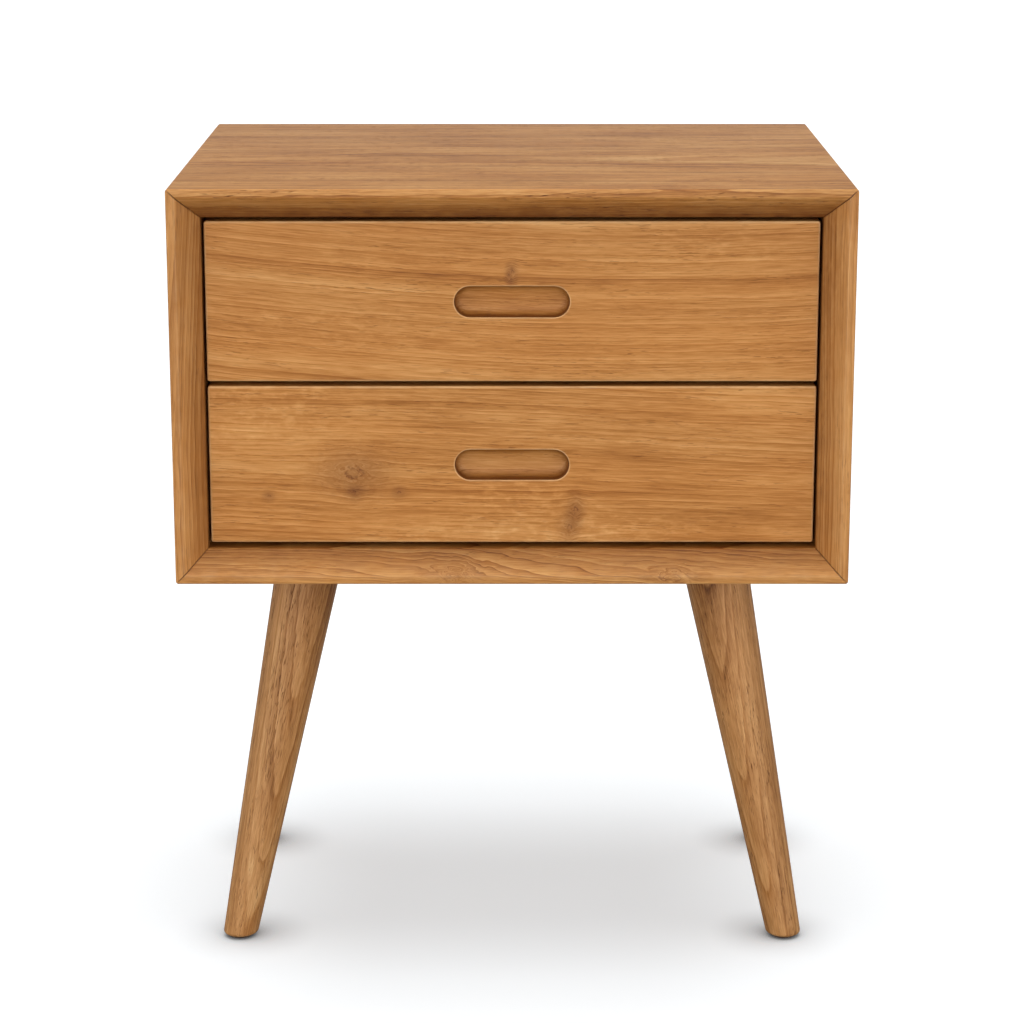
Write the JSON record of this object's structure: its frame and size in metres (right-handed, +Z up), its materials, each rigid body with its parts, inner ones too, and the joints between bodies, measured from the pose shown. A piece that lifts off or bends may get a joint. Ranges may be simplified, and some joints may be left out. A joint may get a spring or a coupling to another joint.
{
  "type": "nightstand",
  "caption": "Mid-century nightstand: mitred wooden case with bevelled front edge, two drawers with routed finger pulls on ball-bearing slides, and turned splayed legs.",
  "frame": {"origin": "on the floor under the middle of the case, which is the bottom centre of the bounding box", "axes": "+X to the right seen from the front, +Y to the back, +Z up; the drawers open along -Y"},
  "size_m": [0.5, 0.4, 0.61],
  "materials": {
    "teak": "satin oiled teak",
    "box_wood": "plain sanded hardwood",
    "plywood": "thin sanded plywood",
    "zinc_steel": "bright zinc plated",
    "cage_steel": "plain pressed steel",
    "brass": "turned brass",
    "felt": "pressed brown felt"
  },
  "bodies": {
    "case": {"top_panel": "teak", "side_panel_left": "teak", "side_panel_right": "teak", "bottom_panel": "teak", "spline_top_left": "box_wood", "spline_top_right": "box_wood", "spline_bottom_left": "box_wood", "spline_bottom_right": "box_wood", "back_panel": "plywood", "leg_front_left": "teak", "leg_bolt_front_left": "zinc_steel", "leg_insert_front_left": "brass", "foot_glide_front_left": "felt", "leg_front_right": "teak", "leg_bolt_front_right": "zinc_steel", "leg_insert_front_right": "brass", "foot_glide_front_right": "felt", "leg_back_left": "teak", "leg_bolt_back_left": "zinc_steel", "leg_insert_back_left": "brass", "foot_glide_back_left": "felt", "leg_back_right": "teak", "leg_bolt_back_right": "zinc_steel", "leg_insert_back_right": "brass", "foot_glide_back_right": "felt", "slide_outer_lower_left": "zinc_steel", "slide_outer_lower_right": "zinc_steel", "slide_outer_upper_left": "zinc_steel", "slide_outer_upper_right": "zinc_steel"},
    "lower_drawer": {"drawer_face_lower": "teak", "drawer_box_front_lower": "box_wood", "drawer_box_back_lower": "box_wood", "drawer_box_side_left_lower": "box_wood", "drawer_box_side_right_lower": "box_wood", "drawer_base_lower": "plywood", "face_screw_lower_left": "zinc_steel", "slide_inner_lower_left": "zinc_steel", "face_screw_lower_right": "zinc_steel", "slide_inner_lower_right": "zinc_steel"},
    "lower_ball_cages": {"slide_cage_lower_left": "cage_steel", "slide_cage_lower_right": "cage_steel"},
    "upper_drawer": {"drawer_face_upper": "teak", "drawer_box_front_upper": "box_wood", "drawer_box_back_upper": "box_wood", "drawer_box_side_left_upper": "box_wood", "drawer_box_side_right_upper": "box_wood", "drawer_base_upper": "plywood", "face_screw_upper_left": "zinc_steel", "slide_inner_upper_left": "zinc_steel", "face_screw_upper_right": "zinc_steel", "slide_inner_upper_right": "zinc_steel"},
    "upper_ball_cages": {"slide_cage_upper_left": "cage_steel", "slide_cage_upper_right": "cage_steel"}
  },
  "joints": [
    {"name": "lower_drawer_slide", "type": "slide", "parent": "case", "child": "lower_drawer", "axis": [0, -1, 0], "range_m": [0, 0.225]},
    {"name": "upper_drawer_slide", "type": "slide", "parent": "case", "child": "upper_drawer", "axis": [0, -1, 0], "range_m": [0, 0.225]},
    {"name": "lower_cage_slide", "type": "slide", "parent": "case", "child": "lower_ball_cages", "axis": [0, -1, 0], "range_m": [0, 0.1125]},
    {"name": "upper_cage_slide", "type": "slide", "parent": "case", "child": "upper_ball_cages", "axis": [0, -1, 0], "range_m": [0, 0.1125]}
  ],
  "couplings": [
    {"joint": "lower_cage_slide", "follows": "lower_drawer_slide", "ratio": 0.5},
    {"joint": "upper_cage_slide", "follows": "upper_drawer_slide", "ratio": 0.5}
  ]
}
